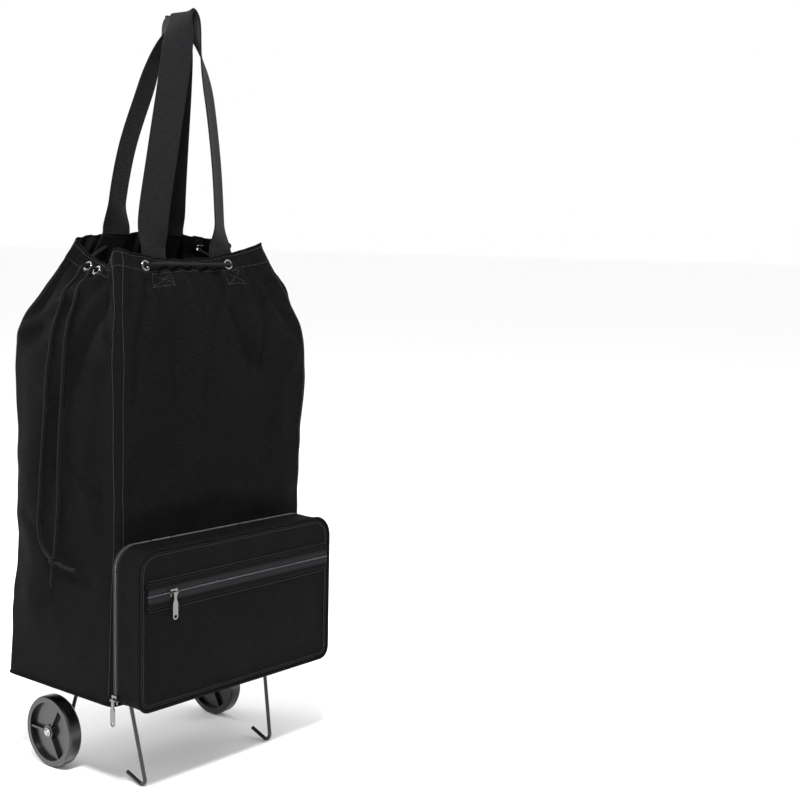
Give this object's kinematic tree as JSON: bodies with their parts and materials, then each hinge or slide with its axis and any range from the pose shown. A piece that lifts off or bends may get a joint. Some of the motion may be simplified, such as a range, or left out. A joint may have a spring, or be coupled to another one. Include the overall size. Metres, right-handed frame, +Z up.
{
  "type": "folding shopping trolley bag",
  "caption": "Fabric shopping trolley bag with drawstring top, webbing handles and a zipped front pouch, on two folding wire side frames with rear wheels",
  "frame": {"origin": "on the floor, under the middle of the box round the trolley without its hanging drawstring ends", "axes": "+Z up, -Y towards the pouch (front), +X to the right seen from the front"},
  "size_m": [0.3466, 0.2691, 0.9706],
  "materials": {
    "bag_fabric": "woven coated polyester, slight sheen",
    "base_board": "matte sheet",
    "nickel": "nickel plated, polished",
    "webbing": "ribbed polypropylene webbing",
    "cord": "braided cord",
    "zip_tape": "woven zip tape with coil",
    "clip_steel": "zinc plated",
    "wire": "black powder coat on steel wire",
    "wheel_plastic": "moulded, satin to gloss"
  },
  "bodies": {
    "bag": {"front_panel": "bag_fabric", "right_panel": "bag_fabric", "back_panel": "bag_fabric", "left_panel": "bag_fabric", "base_panel": "bag_fabric", "base_board": "base_board", "eyelets": "nickel", "handle_tabs": "webbing", "drawstring_rim": "cord", "drawstring_front_strand": "cord", "drawstring_rear_strand": "cord", "drawstring_knot": "cord", "pouch_zip_tape_bag": "zip_tape", "left_wire_clips": "clip_steel", "right_wire_clips": "clip_steel", "clip_rivets": "clip_steel"},
    "left_frame": {"left_side_wire": "wire", "left_washer": "clip_steel", "left_push_nut": "nickel"},
    "right_frame": {"right_side_wire": "wire", "right_washer": "clip_steel", "right_push_nut": "nickel"},
    "left_wheel": {"left_wheel": "wheel_plastic"},
    "right_wheel": {"right_wheel": "wheel_plastic"},
    "pouch_cover": {"pouch_gusset": "bag_fabric", "pouch_front_panel": "bag_fabric", "pouch_zip_tape_cover": "zip_tape", "front_zip_tape": "zip_tape"},
    "front_zip_slider": {"front_slider": "nickel"},
    "front_zip_puller": {"front_puller": "nickel"},
    "pouch_zip_slider": {"pouch_slider": "nickel"},
    "pouch_zip_puller": {"pouch_puller": "nickel"},
    "front_handle": {"front_handle_strap": "webbing"},
    "back_handle": {"back_handle_strap": "webbing"}
  },
  "joints": [
    {"name": "left_frame_fold", "type": "hinge", "parent": "bag", "child": "left_frame", "pos_m": [-0.117, 0.022, 0.115], "axis": [0, -1, 0], "range_deg": [0, 86]},
    {"name": "right_frame_fold", "type": "hinge", "parent": "bag", "child": "right_frame", "pos_m": [0.117, 0.022, 0.115], "axis": [0, 1, 0], "range_deg": [0, 86]},
    {"name": "left_wheel_spin", "type": "hinge", "parent": "left_frame", "child": "left_wheel", "pos_m": [-0.1398, 0.067, 0.0465], "axis": [1, 0, 0], "continuous": true},
    {"name": "right_wheel_spin", "type": "hinge", "parent": "right_frame", "child": "right_wheel", "pos_m": [0.1398, 0.067, 0.0465], "axis": [1, 0, 0], "continuous": true},
    {"name": "pouch_cover_open", "type": "hinge", "parent": "bag", "child": "pouch_cover", "pos_m": [0, -0.0833, 0.12], "axis": [1, 0, 0], "range_deg": [0, 90]},
    {"name": "front_zip_slide", "type": "slide", "parent": "pouch_cover", "child": "front_zip_slider", "axis": [1, 0, 0], "range_m": [0, 0.26]},
    {"name": "front_puller_swing", "type": "hinge", "parent": "front_zip_slider", "child": "front_zip_puller", "pos_m": [-0.112, -0.1365, 0.26], "axis": [-1, 0, 0], "range_deg": [0, 150]},
    {"name": "pouch_zip_slide", "type": "slide", "parent": "bag", "child": "pouch_zip_slider", "axis": [0, 0, 1], "range_m": [0, 0.15]},
    {"name": "pouch_puller_swing", "type": "hinge", "parent": "pouch_zip_slider", "child": "pouch_zip_puller", "pos_m": [-0.1683, -0.08815, 0.129], "axis": [0, 1, 0], "range_deg": [0, 150]},
    {"name": "front_handle_swing", "type": "hinge", "parent": "bag", "child": "front_handle", "pos_m": [-0.0215, -0.05425, 0.671], "axis": [0.9989, 0.0478, 0], "range_deg": [0, 105]},
    {"name": "back_handle_swing", "type": "hinge", "parent": "bag", "child": "back_handle", "pos_m": [-0.019, 0.033, 0.694], "axis": [-0.9843, 0.1767, 0], "range_deg": [0, 95]}
  ]
}
